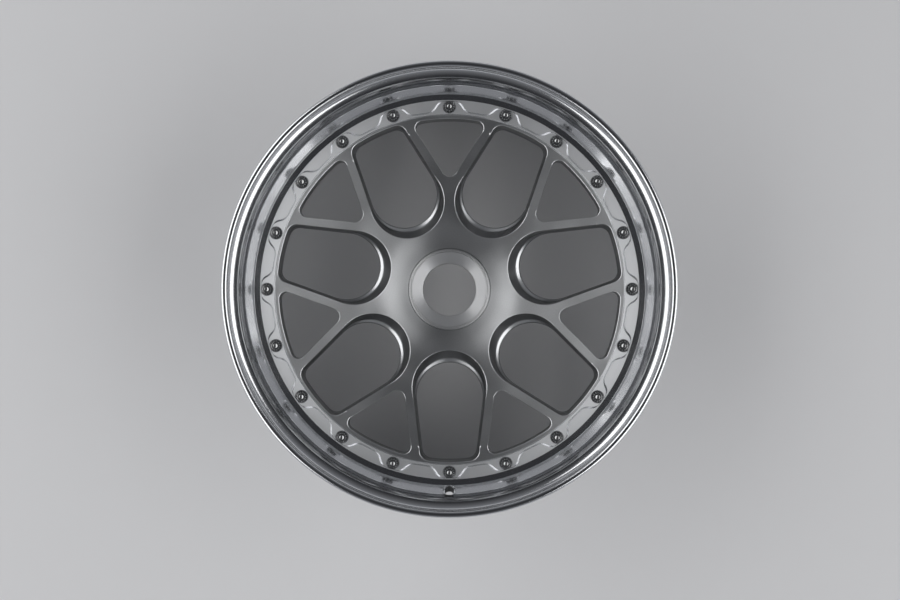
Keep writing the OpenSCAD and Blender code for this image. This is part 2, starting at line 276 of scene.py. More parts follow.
def start_piece(name):
    """A new piece of one vertex at the origin, in edit mode."""
    deselect_all()
    bpy.ops.mesh.primitive_plane_add(size=MM)
    piece = bpy.context.active_object
    piece.name = name
    piece.data.name = name
    bpy.ops.object.mode_set(mode="EDIT")
    bpy.ops.mesh.select_all(action="SELECT")
    bpy.ops.mesh.merge(type="CENTER")
    return piece


def draw_line(points):
    """Moves the selected vertex to the first point and extrudes it through the others."""
    bpy.ops.transform.translate(value=points[0])
    for here, there in zip(points, points[1:]):
        bpy.ops.mesh.extrude_vertices_move(TRANSFORM_OT_translate={"value": there - here})


def pick_vertices(piece, indices):
    """Selects just these vertices in edit mode, and what lies between them."""
    mesh = bmesh.from_edit_mesh(piece.data)
    wanted = set(indices)
    for vertex in mesh.verts:
        vertex.select_set(vertex.index in wanted)
    mesh.select_flush(True)
    bmesh.update_edit_mesh(piece.data)


def merge_doubles():
    bpy.ops.mesh.select_all(action="SELECT")
    bpy.ops.mesh.remove_doubles(threshold=WELD)


def close_mesh():
    """Merges doubles, turns all faces outwards and leaves edit mode."""
    merge_doubles()
    bpy.ops.mesh.normals_make_consistent(inside=False)
    bpy.ops.object.mode_set(mode="OBJECT")


def turned_piece(name, profile, steps, closed=True):
    """A closed piece turned about Z from a profile of (radius, height) in millimetres.

    A profile that isn't closed starts and ends on the axis.
    """
    piece = start_piece(name)
    points = [Vector((p[0], 0, p[1])) * MM for p in profile]
    draw_line(points + points[:1] if closed else points)
    merge_doubles()
    bpy.ops.mesh.select_all(action="SELECT")
    bpy.ops.mesh.spin(steps=steps, angle=2 * math.pi, center=(0, 0, 0), axis=(0, 0, 1))
    close_mesh()
    return piece


def lofted_piece(name, rings):
    """A closed solid bridged through rings of points in millimetres, the first ring uppermost."""
    parts = []
    for ring in rings:
        part = start_piece(name)
        points = [Vector(p) * MM for p in ring]
        draw_line(points + points[:1])
        merge_doubles()
        bpy.ops.object.mode_set(mode="OBJECT")
        parts.append(part)
    activate(parts[0])
    for part in parts:
        part.select_set(True)
    bpy.ops.object.join()
    piece = bpy.context.active_object
    bpy.ops.object.mode_set(mode="EDIT")
    count = len(rings[0])
    bpy.ops.mesh.select_mode(type="EDGE")
    for upper in range(len(rings) - 1):
        mesh = bmesh.from_edit_mesh(piece.data)
        mesh.verts.index_update()
        for edge in mesh.edges:
            ring_of = {vertex.index // count for vertex in edge.verts}
            edge.select_set(ring_of in ({upper}, {upper + 1}))
        bmesh.update_edit_mesh(piece.data)
        bpy.ops.mesh.bridge_edge_loops()
    bpy.ops.mesh.select_mode(type="VERT")
    bpy.ops.mesh.select_all(action="SELECT")
    bpy.ops.mesh.fill_holes(sides=0)
    close_mesh()
    return piece


def copies_round_axis(piece, count, first, radius=0.0):
    """Copies of a piece, each with its own mesh, set out round the axis; the piece itself goes."""
    copies = []
    for i in range(count):
        angle = math.radians(first + 360 * i / count)
        copy = piece.copy()
        copy.data = piece.data.copy()
        bpy.context.collection.objects.link(copy)
        copy.location = (radius * MM * math.cos(angle), radius * MM * math.sin(angle), 0)
        copy.rotation_euler = (0, 0, angle)
        apply_place(copy)
        copies.append(copy)
    bpy.data.objects.remove(piece)
    return copies


def cut(piece, cutters):
    """Cuts every cutter out of a piece at once, and removes the cutters."""
    activate(cutters[0])
    for cutter in cutters:
        cutter.select_set(True)
    if len(cutters) > 1:
        bpy.ops.object.join()
    tool = bpy.context.active_object
    activate(piece)
    modifier = piece.modifiers.new("cut", "BOOLEAN")
    modifier.object = tool
    modifier.operation = "DIFFERENCE"
    modifier.solver = "EXACT"
    bpy.ops.object.modifier_apply(modifier=modifier.name)
    bpy.data.objects.remove(tool)


def bolt_holes(count, low, high):
    """Cutters for the rim bolts' holes between two heights in millimetres."""
    hole = turned_piece("hole_cutter", [
        (0, low - 1), (HOLE_R, low - 1), (HOLE_R, high + 1), (0, high + 1)], 32, closed=False)
    return copies_round_axis(hole, count, 90, BOLT_R)


def smooth(piece, angle=30):
    """Smooth shading that keeps edges sharper than angle, weighted by the faces' size."""
    activate(piece)
    bpy.ops.object.shade_smooth_by_angle(angle=math.radians(angle))
    modifier = piece.modifiers.new("normals", "WEIGHTED_NORMAL")
    modifier.keep_sharp = True
    bpy.ops.object.modifier_apply(modifier=modifier.name)


def finish_piece(piece, material, slot, *nodes):
    """Gives a piece its material and its body, and hides the CAD nodes that it stands for."""
    piece.data.materials.clear()
    piece.data.materials.append(material)
    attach(piece, BODY)
    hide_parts(*nodes)


# Shader nodes

def add_node(tree, kind, inputs, **settings):
    """A new node: its settings are made first, then each input is given a value or a link."""
    node = tree.nodes.new(kind)
    for name, value in settings.items():
        setattr(node, name, value)
    for key, value in inputs.items():
        if isinstance(value, bpy.types.NodeSocket):
            tree.links.new(value, node.inputs[key])
        else:
            node.inputs[key].default_value = value
    return node


def math_node(tree, operation, *values):
    return add_node(tree, "ShaderNodeMath", dict(enumerate(values)), operation=operation).outputs[0]


def vector_node(tree, operation, *values):
    return add_node(tree, "ShaderNodeVectorMath", dict(enumerate(values)), operation=operation)


def from_axis(tree, place):
    """Distance of a place from the axis, and its height."""
    split = add_node(tree, "ShaderNodeSeparateXYZ", {0: place})
    across = math_node(tree, "MULTIPLY", split.outputs[0], split.outputs[0])
    along = math_node(tree, "MULTIPLY", split.outputs[1], split.outputs[1])
    return math_node(tree, "SQRT", math_node(tree, "ADD", across, along)), split.outputs[2]


def new_group(name, inputs, outputs):
    """A node group from a vector and numbers to numbers, with its input and output nodes."""
    group = bpy.data.node_groups.new(name, "ShaderNodeTree")
    sockets = group.interface
    sockets.new_socket(name="Vector", in_out="INPUT", socket_type="NodeSocketVector")
    for label, value in inputs.items():
        socket = sockets.new_socket(name=label, in_out="INPUT", socket_type="NodeSocketFloat")
        socket.default_value = value
    for label in outputs:
        sockets.new_socket(name=label, in_out="OUTPUT", socket_type="NodeSocketFloat")
    return group, group.nodes.new("NodeGroupInput"), group.nodes.new("NodeGroupOutput")


def lathe_lines_group():
    """Fine lines round the axis, as a lathe tool or a polishing wheel leaves them."""
    group, start, end = new_group("Lathe lines", {"Lines per metre": 900.0, "Waver": 0.15}, ["Height"])
    radius, height = from_axis(group, start.outputs["Vector"])
    path = math_node(group, "SUBTRACT", radius, height)
    turned = math_node(group, "MULTIPLY", path, start.outputs["Lines per metre"])
    stretch = add_node(
        group, "ShaderNodeTexNoise", {"Vector": start.outputs["Vector"], "Scale": 14.0, "Detail": 2.0})
    waver = math_node(group, "MULTIPLY", stretch.outputs[0], start.outputs["Waver"])
    line = math_node(group, "ADD", turned, waver)
    noise = add_node(
        group, "ShaderNodeTexNoise", {"W": line, "Scale": 1.0, "Detail": 3.0, "Roughness": 0.7},
        noise_dimensions="1D")
    group.links.new(noise.outputs[0], end.inputs["Height"])
    return group


def grain_group():
    """Even fine grain, as blasting or a satin coat leaves it, with slow clouds in it."""
    group, start, end = new_group("Satin grain", {"Grain per metre": 1400.0}, ["Height", "Clouds"])
    place = start.outputs["Vector"]
    fine = add_node(group, "ShaderNodeTexNoise", {
        "Vector": place, "Scale": start.outputs["Grain per metre"], "Detail": 4.0, "Roughness": 0.65})
    clouds = add_node(group, "ShaderNodeTexNoise", {"Vector": place, "Scale": 22.0, "Detail": 5.0})
    group.links.new(fine.outputs[0], end.inputs["Height"])
    group.links.new(clouds.outputs[0], end.inputs["Clouds"])
    return group


class Finish:
    """A material being put together: its tree, its shader and the object's own coordinates."""

    def __init__(self, name, metallic=0.0):
        self.material = bpy.data.materials.new(name)
        self.material.use_nodes = True
        self.tree = self.material.node_tree
        self.shader = self.tree.nodes["Principled BSDF"]
        self.shader.inputs["Metallic"].default_value = metallic
        place = self.tree.nodes.new("ShaderNodeTexCoord")
        self.place = place.outputs["Object"]
        self.normal = place.outputs["Normal"]

    def group(self, name, build, inputs):
        """A node of a shared group, which is built when it is first asked for."""
        group = bpy.data.node_groups.get(name) or build()
        return add_node(self.tree, "ShaderNodeGroup", {"Vector": self.place, **inputs}, node_tree=group)

    def lines(self, per_metre, waver=0.15):
        inputs = {"Lines per metre": per_metre, "Waver": waver}
        return self.group("Lathe lines", lathe_lines_group, inputs).outputs["Height"]

    def grain(self, per_metre):
        """Height of the grain, and the clouds in it."""
        node = self.group("Satin grain", grain_group, {"Grain per metre": per_metre})
        return node.outputs["Height"], node.outputs["Clouds"]

    def spread(self, value, low, high):
        """Maps the middle of a noise's range to the range low to high."""
        return add_node(self.tree, "ShaderNodeMapRange", {
            "Value": value, "From Min": 0.3, "From Max": 0.7, "To Min": low, "To Max": high}).outputs[0]

    def ramp(self, value, start, end):
        """Smooth 0 to 1 as the value goes from start to end."""
        return add_node(
            self.tree, "ShaderNodeMapRange", {"Value": value, "From Min": start, "From Max": end},
            interpolation_type="SMOOTHSTEP").outputs[0]

    def mix(self, factor, a, b):
        """A number from a to b."""
        return add_node(self.tree, "ShaderNodeMix", {0: factor, 2: a, 3: b}, data_type="FLOAT").outputs[0]

    def blend(self, factor, *colours):
        """A colour from the first to the second, each of them three numbers or a node's output."""
        a, b = (c if isinstance(c, bpy.types.NodeSocket) else (*c, 1) for c in colours)
        return add_node(self.tree, "ShaderNodeMix", {0: factor, 6: a, 7: b}, data_type="RGBA").outputs[2]

    def above(self, value, limit):
        return math_node(self.tree, "GREATER_THAN", value, limit)

    def below(self, value, limit):
        return math_node(self.tree, "LESS_THAN", value, limit)

    def both(self, a, b):
        return math_node(self.tree, "MULTIPLY", a, b)

    def upright(self):
        """Mask of walls that stand nearly along the axis, where shade is painted."""
        split = add_node(self.tree, "ShaderNodeSeparateXYZ", {0: self.normal})
        return self.ramp(math_node(self.tree, "ABSOLUTE", split.outputs[2]), 0.55, 0.25)

    def facing_in(self):
        """Mask of the lip's walls that stand upright and face the axis, where shade is painted."""
        flat = vector_node(self.tree, "MULTIPLY", self.place, (1, 1, 0))
        dot = vector_node(self.tree, "DOT_PRODUCT", flat.outputs["Vector"], self.normal)
        return self.ramp(dot.outputs["Value"], -0.20, -0.235)

    def near_line(self, place, along, reach):
        """Mask of what lies within reach of a line through place."""
        offset = vector_node(self.tree, "SUBTRACT", self.place, place)
        across = vector_node(self.tree, "CROSS_PRODUCT", offset.outputs["Vector"], along)
        distance = vector_node(self.tree, "LENGTH", across.outputs["Vector"])
        return self.below(distance.outputs["Value"], reach)

    def turned(self, amount):
        """Lets reflections spread across lines that run round the axis."""
        split = add_node(self.tree, "ShaderNodeSeparateXYZ", {0: self.place})
        outwards = add_node(
            self.tree, "ShaderNodeCombineXYZ", {0: split.outputs[0], 1: split.outputs[1]})
        self.feed("Tangent", outwards.outputs[0])
        self.shader.inputs["Anisotropic"].default_value = amount

    def bump(self, height, strength, distance):
        """Gives the shader a relief."""
        node = add_node(self.tree, "ShaderNodeBump", {
            "Height": height, "Strength": strength, "Distance": distance})
        self.feed("Normal", node.outputs[0])

    def feed(self, socket, value):
        self.tree.links.new(value, self.shader.inputs[socket])


def scaled(colour, factor):
    return tuple(min(1.0, c * factor) for c in colour)


def satin_centre_material(colours):
    """Satin coat over turned spokes, a brighter bolt ring, and bare metal from the collar inwards."""
    finish = Finish("satin centre", metallic=1.0)
    finish.turned(0.65)
    radius, height = from_axis(finish.tree, finish.place)
    in_front = finish.above(height, (PAD_Z + 14) * MM)
    bare = finish.both(finish.below(radius, (COLLAR_R + 0.1) * MM), in_front)
    on_ring = finish.above(radius, (STEP_R + 0.4) * MM)
    over_floor = finish.above(height, (RING_Z - POCKET_D + 0.2) * MM)
    on_wall = finish.both(over_floor, finish.below(height, (RING_Z - 0.2) * MM))
    grain, clouds = finish.grain(900.0)
    lines = finish.lines(1300.0)
    coat = finish.blend(grain, scaled(colours.satin, 0.88), scaled(colours.satin, 1.12))
    # Painted shade: walls that stand along the axis, such as the windows' walls, get a darker satin colour.
    coat = finish.blend(finish.upright(), coat, scaled(colours.satin, 0.36))
    ring = finish.blend(grain, scaled(colours.ring, 0.94), scaled(colours.ring, 1.05))
    metal = finish.blend(lines, scaled(colours.bare, 0.90), scaled(colours.bare, 1.04))
    finish.feed("Base Color", finish.blend(bare, finish.blend(on_ring, coat, ring), metal))
    coat_rough = finish.spread(clouds, 0.30, 0.36)
    ring_rough = finish.mix(on_wall, finish.spread(clouds, 0.52, 0.58), 0.22)
    metal_rough = finish.spread(lines, 0.30, 0.40)
    rough = finish.mix(on_ring, coat_rough, ring_rough)
    finish.feed("Roughness", finish.mix(bare, rough, metal_rough))
    finish.bump(finish.mix(bare, grain, lines), 0.25, 0.05 * MM)
    return finish.material


def polished_lip_material(colours, bore_r):
    """Mirror polish with faint lines round the axis, and painted shade where it faces in and in the valve
    hole.
    """
    finish = Finish("polished lip", metallic=1.0)
    finish.turned(0.5)
    _, clouds = finish.grain(300.0)
    lines = finish.lines(700.0, 0.3)
    # Painted shade: the valve hole's wall is coloured nearly black.
    valve_bore_shade = finish.near_line(VALVE_PLACE * MM, (0, math.sin(BORE_LEAN), math.cos(BORE_LEAN)), bore_r)
    polish = finish.blend(lines, scaled(colours.polish, 0.95), colours.polish)
    # Painted shade: the lip's walls that face the axis get a darker polish colour.
    polish = finish.blend(finish.facing_in(), polish, scaled(colours.polish, 0.45))
    finish.feed("Base Color", finish.blend(valve_bore_shade, polish, scaled(colours.polish, 0.12)))
    finish.feed("Roughness", finish.mix(valve_bore_shade, finish.spread(clouds, 0.13, 0.18), 0.6))
    finish.bump(lines, 0.12, 0.02 * MM)
    return finish.material


def turned_barrel_material(colours):
    """Turned aluminium with fine tool lines, duller than the lip."""
    finish = Finish("turned barrel", metallic=1.0)
    _, clouds = finish.grain(500.0)
    lines = finish.lines(1100.0, 0.4)
    finish.feed("Base Color", finish.blend(clouds, scaled(colours.turned, 0.93), colours.turned))
    finish.feed("Roughness", finish.spread(lines, 0.22, 0.34))
    finish.bump(lines, 0.3, 0.04 * MM)
    return finish.material


def plated_material(name, colour, rough, strength):
    """Plated steel with a fine uneven grain."""
    finish = Finish(name, metallic=1.0)
    grain, clouds = finish.grain(900.0)
    finish.feed("Base Color", finish.blend(clouds, scaled(colour, 0.90), colour))
    finish.feed("Roughness", finish.spread(grain, rough, rough + 0.12))
    finish.bump(grain, strength, 0.03 * MM)
    return finish.material


def seal_material(colours):
    """Matt rubber with a slight bloom."""
    finish = Finish("seal rubber")
    grain, clouds = finish.grain(700.0)
    finish.feed("Base Color", finish.blend(clouds, colours.seal, scaled(colours.seal, 1.8)))
    finish.feed("Roughness", finish.spread(grain, 0.55, 0.75))
    finish.bump(grain, 0.3, 0.05 * MM)
    return finish.material


# The centre

def window_outline(mid_r, radius, taper, rim_r, corner, grow):
    """Outline of a window in the plane: an arc towards the hub, two sides and a rounded outer edge."""
    lean = math.radians(taper)
    side = Vector((math.sin(lean), math.cos(lean)))
    along = Vector((math.cos(lean), -math.sin(lean)))
    k = (radius - corner) + mid_r * math.sin(lean)
    centre = side * k + along * math.sqrt((rim_r - corner) ** 2 - k * k)
    turn = math.degrees(math.atan2(centre.y, centre.x))
    upper = arc((mid_r, 0), radius + grow, 180, 90 - taper, 22)
    upper += arc(centre, corner + grow, 90 - taper, turn, 6)
    upper += arc((0, 0), rim_r + grow, turn, 0, 6)[1:]
    return upper + [Vector((p.x, -p.y)) for p in reversed(upper[1:-1])]


def arch_outline(along_wall, grow):
    """Round-arched window: 0 at the face, 1 where its wall meets the ledge, 2 at the back."""
    wall, ledge = min(along_wall, 1), max(along_wall - 1, 0)
    shift = WALL_SHIFT * wall + LEDGE_SHIFT * ledge
    shrink = WALL_SHRINK * wall + LEDGE_SHRINK * ledge
    rim_r = STEP_R - 2.5 - 0.45 * shrink
    return window_outline(ARCH_MID_R + shift, ARCH_R - shrink, ARCH_LEAN, rim_r, ARCH_CORNER, grow)


def wedge_outline(grow):
    return window_outline(WEDGE_MID_R, WEDGE_R, WEDGE_LEAN, STEP_R - 4.5, WEDGE_CORNER, grow)


def level(outline, z):
    return [(p.x, p.y, z) for p in outline]


def between(outline, share, up):
    """Points between the spokes' front (share 0) and back (share 1), raised by up."""
    ring = []
    for p in outline:
        front = face_z(p.length)
        ring.append((p.x, p.y, front + (back_z(p.length) - front) * share + up))
    return ring


def rounded_edge(outline_at, edge):
    """Rings that round a window's front edge off."""
    rings = []
    for turn in (0, 30, 60, 90):
        angle = math.radians(turn)
        rings.append(between(outline_at(edge * (1 - math.sin(angle))), 0, edge * (math.cos(angle) - 1)))
    return rings


def arch_cutter(edge):
    ledge = (
        (0.92, 9.3), (1.04, 7.6), (1.25, 6.5), (1.7, 5.2), (1.88, 4.2), (1.97, 3.0), (2, 1.6), (2, 0.6))
    return lofted_piece("arch_cutter", [
        level(arch_outline(0, edge + 1.0), RING_Z + 1),
        *rounded_edge(lambda grow: arch_outline(0, grow), edge),
        *(between(arch_outline(along_wall, 0), 1, up) for along_wall, up in ledge),
        between(arch_outline(2, 0.6), 1, 0),
        level(arch_outline(2, 0.6), PAD_Z - 1),
    ])


def wedge_cutter(edge):
    return lofted_piece("wedge_cutter", [
        level(wedge_outline(edge + 1.0), RING_Z + 1),
        *rounded_edge(wedge_outline, edge),
        between(wedge_outline(0), 1, 0.6),
        between(wedge_outline(0.6), 1, 0),
        level(wedge_outline(0.6), PAD_Z - 1),
    ])


def pocket_outline(pitch, grow):
    """Outline of a pocket between two bolts, open past the ring's outer edge."""
    inner = STEP_R + 5 - grow
    waist = Vector((STEP_R + 10.8 - 0.2 * grow, 17.4 - 1.3 * grow))
    end = Vector((RING_R - 1.1 - 0.3 * grow, 6.8 - 0.6 * grow))
    side = bend(Vector((inner, 26)), Vector((inner, 21 - 0.8 * grow)), waist, 9)
    side += bend(waist, Vector((RING_R - 1.6 - 0.6 * grow, 14.5 - 1.6 * grow)), end, 9)[1:]
    side.append(Vector((RING_R + 1.5, end.y)))
    upper = []
    for r, pad_half in side:
        angle = math.radians(pitch / 2) - math.asin(pad_half / r)
        upper.append(Vector((r * math.cos(angle), r * math.sin(angle))))
    return upper + [Vector((p.x, -p.y)) for p in reversed(upper)]


def pocket_cutter(pitch):
    floor = RING_Z - POCKET_D
    rings = (
        (POCKET_WALL + 1.1, RING_Z + 0.6), (POCKET_WALL + 0.25, RING_Z), (POCKET_WALL - 0.1, RING_Z - 0.3),
        (0.45, floor + 0.4), (0.1, floor + 0.1), (-0.3, floor))
    return lofted_piece("pocket_cutter", [level(pocket_outline(pitch, grow), z) for grow, z in rings])


def centre_profile():
    """Half section of the centre before its windows are cut."""
    foot_z = face_z(COLLAR_R)
    points = rounded([
        (HUB_BORE_R, PAD_Z + SPIGOT_D, 0.8),
        (HUB_BORE_R, COLLAR_Z - SEAT_D, 1.0),
        (45.3, COLLAR_Z - 0.9, 0.4),
        (45.7, COLLAR_Z - 0.1, 0.2),
        (46.0, COLLAR_Z - 0.1, 0.05),
        (46.1, COLLAR_Z - GROOVE_D, 0.2),
        (47.4, COLLAR_Z - GROOVE_D, 0.2),
        (47.5, COLLAR_Z, 0.05),
        (COLLAR_R, COLLAR_Z, 0.3),
        (COLLAR_R + 0.2, foot_z - 0.9, 0.3),
        (COLLAR_R + 1.4, foot_z - 0.9, 0.3),
        (COLLAR_R + 1.7, foot_z + 0.1, 0.15),
        (COLLAR_R + 4.0, face_z(COLLAR_R + 4.0), 2.5),
    ], 4, closed=False)
    steps = 36
    start = COLLAR_R + 5
    for i in range(steps + 1):
        r = start + (STEP_R - 0.8 - start) * i / steps
        points.append(Vector((r, face_z(r))))
    points += rounded([
        (STEP_R - 0.4, face_z(STEP_R), 0),
        (STEP_R - 0.1, face_z(STEP_R), 0.4),
        (STEP_R + 1.0, RING_Z, 0.5),
        (RING_R - 2.2, RING_Z, 0.4),
        (RING_R - 1.0, RING_Z - POCKET_D, 0.3),
        (RING_R, RING_Z - POCKET_D, 0.5),
        (RING_R, FLAT_Z, 0),
        (PILOT_R, FLAT_Z, 0),
        (PILOT_R, BACK_RIM_Z, 1.0),
        (PAD_R + 3, back_z(PAD_R + 3), 4.0),
        (PAD_R, BACK_HUB_Z - 2, 2.0),
        (PAD_R, PAD_Z, 1.5),
        (SPIGOT_R + 1, PAD_Z, 0.6),
        (SPIGOT_R, PAD_Z + 1.5, 0.6),
        (SPIGOT_R, PAD_Z + SPIGOT_D, 0.4),
    ], 4, closed=False)
    return points


class WHEEL_OT_centre(bpy.types.Operator):
    """Models the spoked centre with its ring, pockets and hub"""

    bl_idname = "wheel.centre"
    bl_label = "Wheel centre"

    def execute(self, context):
        sizes = context.scene.wheel_sizes
        pitch = 360 / sizes.bolt_count
        edge = sizes.edge_round / MM
        centre = turned_piece("spoked_centre", centre_profile(), sizes.lathe_steps)
        cutters = copies_round_axis(arch_cutter(edge), sizes.spoke_count, -90)
        cutters += copies_round_axis(wedge_cutter(edge), sizes.spoke_count, 90)
        cutters += copies_round_axis(pocket_cutter(pitch), sizes.bolt_count, 90 + pitch / 2)
        top = RING_Z - SPOT_D
        spot = turned_piece("spot_cutter", [
            (0, FLAT_Z - 2), (HOLE_R, FLAT_Z - 2), (HOLE_R, top), (SPOT_R, top), (SPOT_R, RING_Z - 0.15),
            (SPOT_R + 0.3, RING_Z + 0.15), (SPOT_R + 0.3, RING_Z + 2), (0, RING_Z + 2)], 48, closed=False)
        cutters += copies_round_axis(spot, sizes.bolt_count, 90, BOLT_R)
        pin_hole = turned_piece("pin_cutter", [
            (0, PAD_Z + PIN_D), (PIN_R, PAD_Z + PIN_D), (PIN_R, PAD_Z + 1),
            (PIN_R + 1, PAD_Z), (PIN_R + 1, PAD_Z - 2), (0, PAD_Z - 2)], 48, closed=False)
        cutters += copies_round_axis(pin_hole, PIN_COUNT, 90, PIN_CIRCLE_R)
        cut(centre, cutters)
        smooth(centre)
        material = satin_centre_material(context.scene.wheel_finish)
        finish_piece(centre, material, "satin_centre", "wheel_centre")
        return {"FINISHED"}


# The rim halves

def placed(points, face, outwards):
    """Points drawn upwards from a flange's face; outwards is +1 outboard, -1 inboard."""
    return [Vector((p[0], face + outwards * p[1])) for p in points]


def tyre_side(face, outwards):
    """Tyre side of a flange, from the hump out to the rolled edge."""
    seat_end = -FLANGE_W - HUMP_W
    seat_end_r = SEAT_R - SEAT_SLANT
    points = [(seat_end_r - 1.2, seat_end - 4.5)]
    points += arc((seat_end_r - 0.3, seat_end - 1.5), 2, -35, 50, 6)
    points += [(seat_end_r, seat_end + 2)]
    points += bend(
        Vector((SEAT_R - 0.4, -FLANGE_W - 5.5)), Vector((SEAT_R, -FLANGE_W)),
        Vector((SEAT_R + 5.5, -FLANGE_W)), 8)
    points += arc((TIP_R - 9.5, -FLANGE_W + 9.5), 9.5, -90, -20, 12)
    return placed(points, face, outwards)


def rolled_edge(face, outwards):
    """Rolled edge of a flange, from its tyre side to its inner side."""
    points = [Vector((TIP_R, -EDGE_R - 1))]
    points += arc((TIP_R - EDGE_R, -EDGE_R), EDGE_R, 0, 90, 10)
    points += arc((TIP_R - EDGE_R - EDGE_LAND, -EDGE_R), EDGE_R, 90, 180, 10)
    return placed(points, face, outwards)


def outer_profile():
    """Half section of the outer rim half, with the stepped lip."""
    slope_top_z = SLOPE_FOOT_Z + SLOPE_H
    points = [Vector((PILOT_BORE_R, JOINT_Z)), Vector((JOINT_R - JOINT_CHAMFER, JOINT_Z)),
              Vector((JOINT_R, JOINT_Z + JOINT_CHAMFER)), Vector((JOINT_R, SLOPE_FOOT_Z - 3.2))]
    points += tyre_side(TOP_Z, 1)
    points += rolled_edge(TOP_Z, 1)
    points += bend(
        Vector((EDGE_INNER_R - 0.7, TOP_Z - EDGE_R - 0.8)), Vector((EDGE_INNER_R - 3.2, TOP_Z - 8.6)),
        Vector((SEAT_R - 0.1, TOP_Z - 9.5)), 16)
    points += [Vector((SEAT_R - 0.15, TOP_Z - 10.6))]
    points += bend(
        Vector((SEAT_R - 1.15, TOP_Z - 10.7)), Vector((SEAT_R - 5.0, TOP_Z - 15.5)),
        Vector((SEAT_R - 5.6, TOP_Z - 25.5)), 12)
    points += rounded([
        (SLOPE_TOP_R, slope_top_z + 4, 0),
        (SLOPE_TOP_R, slope_top_z, 1.6),
        (LIP_FOOT_R, SLOPE_FOOT_Z, 1.0),
        (LIP_FOOT_R - 0.8, FLAT_Z, 0.4),
        (PILOT_BORE_R, FLAT_Z, 0),
    ], 6, closed=False)[1:]
    return points


def leaned(cutter, lean):
    """Puts a cutter at the valve hole, leaned inwards from the axis."""
    cutter.rotation_euler = (-lean, 0, 0)
    cutter.location = VALVE_PLACE * MM
    apply_place(cutter)
    return cutter


class WHEEL_OT_outer_half(bpy.types.Operator):
    """Models the polished outer rim half and drills its valve hole"""

    bl_idname = "wheel.outer_half"
    bl_label = "Outer rim half"

    def execute(self, context):
        sizes = context.scene.wheel_sizes
        lip = turned_piece("polished_lip", outer_profile(), sizes.lathe_steps)
        hole_r = sizes.valve_diameter / 2 / MM
        sink = turned_piece("sink_cutter", [
            (0, -0.8), (hole_r - 0.3, -0.8), (hole_r + 0.1, -0.6), (7.8, 0.0), (8.4, 0.8), (0, 0.8)],
            64, closed=False)
        cut(lip, [leaned(sink, SLOPE_LEAN)])
        drill = turned_piece("bore_cutter", [(0, -16), (hole_r, -16), (hole_r, 8), (0, 8)], 64, closed=False)
        cut(lip, [leaned(drill, BORE_LEAN)])
        cut(lip, bolt_holes(sizes.bolt_count, JOINT_Z, FLAT_Z))
        smooth(lip)
        lip_finish = polished_lip_material(context.scene.wheel_finish, (hole_r + 0.05) * MM)
        finish_piece(lip, lip_finish, "polished_lip", "outer_rim_half")
        return {"FINISHED"}


def inner_profile():
    """Half section of the inner rim half: mounting flange, drop centre, barrel and inner flange."""
    well_r = SEAT_R - WELL_D
    barrel_r = SEAT_R - 5
    well_top = JOINT_Z - 11.5
    well_foot = well_top - WELL_W
    ramp_top = JOINT_Z - 22 - WELL_W - 32
    inner_seat_r = SEAT_R - SEAT_SLANT - WALL
    points = rounded([
        (PILOT_BORE_R, MOUNT_BACK_Z, 0.3),
        (well_r - WALL, MOUNT_BACK_Z, 1.4),
        (well_r - WALL, well_foot - 4, 6),
        (barrel_r - WALL, ramp_top, 14),
        (barrel_r - WALL, 50, 4),
        (inner_seat_r, 42, 4),
        (inner_seat_r, FLANGE_W + 6, 8),
        (EDGE_INNER_R - 5, 7.2, 6),
        (EDGE_INNER_R - 0.7, EDGE_R + 0.8, 0),
    ], 8, closed=False)
    points += reversed(rolled_edge(0, -1))
    points += reversed(tyre_side(0, -1))
    points += rounded([
        (barrel_r, FLANGE_W + HUMP_W + 9, 0),
        (barrel_r, FLANGE_W + HUMP_W + 10, 0),
        (barrel_r, ramp_top, 14),
        (well_r, well_foot - 3, 6),
        (well_r, well_top, 3),
        (JOINT_R, JOINT_Z - 4.5, 2.5),
        (JOINT_R, JOINT_Z - JOINT_CHAMFER, 0),
        (JOINT_R - JOINT_CHAMFER, JOINT_Z, 0),
        (PILOT_BORE_R, JOINT_Z, 0),
    ], 8, closed=False)[1:]
    return points


class WHEEL_OT_inner_half(bpy.types.Operator):
    """Models the inner rim half with its barrel and drop centre"""

    bl_idname = "wheel.inner_half"
    bl_label = "Inner rim half"

    def execute(self, context):
        sizes = context.scene.wheel_sizes
        barrel = turned_piece("barrel_half", inner_profile(), sizes.lathe_steps)
        cut(barrel, bolt_holes(sizes.bolt_count, MOUNT_BACK_Z, JOINT_Z))
        smooth(barrel)
        finish_piece(barrel, turned_barrel_material(context.scene.wheel_finish), "barrel", "inner_rim_half")
        return {"FINISHED"}


# Fasteners and seal

def polygon(corner_r, sides):
    """Radius of a polygon at an angle, by its corner radius."""
    step = 2 * math.pi / sides
    def at(angle):
        return corner_r * math.cos(step / 2) / math.cos(angle % step - step / 2)
    return at


def splined(tip, valley, points=12):
    """Radius of a star of straight-sided points at an angle, by its tip and valley radius."""
    half = math.pi / points
    across = valley * math.sin(half)
    reach = tip - valley * math.cos(half)
    def at(angle):
        into = abs((angle + half) % (2 * half) - half)
        return tip * across / (across * math.cos(into) + reach * math.sin(into))
    return at


def within(shape, radius):
    """A shape turned down to a radius."""
    return lambda angle: min(shape(angle), radius)


def stacked_piece(name, rings, sides):
    """A closed piece extruded upwards through rings of (shape, height), in millimetres.

    A shape is a radius, or a function from an angle to a radius.
    """
    deselect_all()
    base = rings[0][1]
    bpy.ops.mesh.primitive_circle_add(
        vertices=sides, radius=MM, fill_type="NGON", location=(0, 0, base * MM))
    piece = bpy.context.active_object
    piece.name = name
    bpy.ops.object.transform_apply(location=True, rotation=True, scale=True)
    bpy.ops.object.mode_set(mode="EDIT")
    bpy.ops.mesh.select_all(action="SELECT")
    resize_ring(piece, rings[0][0])
    for (_, below), (shape, here) in zip(rings, rings[1:]):
        bpy.ops.mesh.extrude_region_move(TRANSFORM_OT_translate={"value": (0, 0, (here - below) * MM)})
        resize_ring(piece, shape)
    close_mesh()
    return piece


